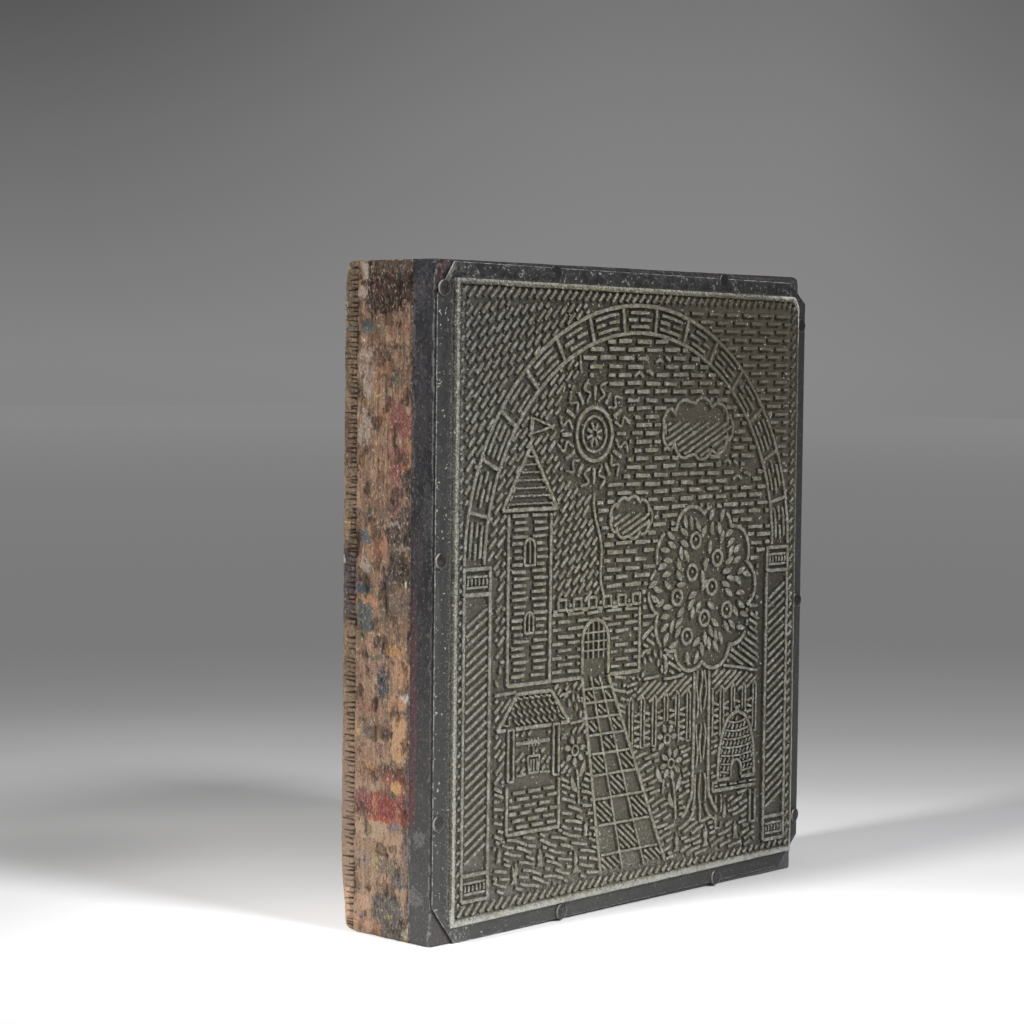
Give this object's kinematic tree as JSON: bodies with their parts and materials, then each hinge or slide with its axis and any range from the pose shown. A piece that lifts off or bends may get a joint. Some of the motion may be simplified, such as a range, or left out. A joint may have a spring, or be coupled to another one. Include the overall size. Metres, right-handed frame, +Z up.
{
  "type": "printing block",
  "caption": "Letterpress printing block: etched metal relief plate with a bevelled flange and cropped corners, nailed to a three-layer wooden mount of type height.",
  "frame": {"origin": "middle of the wooden mount's foot", "axes": "+Z up from the foot to the head of the picture, -Y out of the printing face, +Y out of the back, +X to the right of someone who faces the plate"},
  "size_m": [0.1018, 0.0234, 0.115],
  "materials": {
    "inked_metal": "dark etched ground, worn olive-grey relief, satin",
    "inked_wood": "ink-soaked, nearly black, dull",
    "painted_wood": "rough sawn, stained with ink and flaked paint",
    "bare_wood": "rough, cross-grained, stained",
    "brad_iron": "dark, with worn bright edges"
  },
  "bodies": {
    "root": {"relief_plate": "inked_metal", "front_ply": "inked_wood", "core": "painted_wood", "back_ply": "bare_wood", "brads": "brad_iron"}
  },
  "joints": []
}
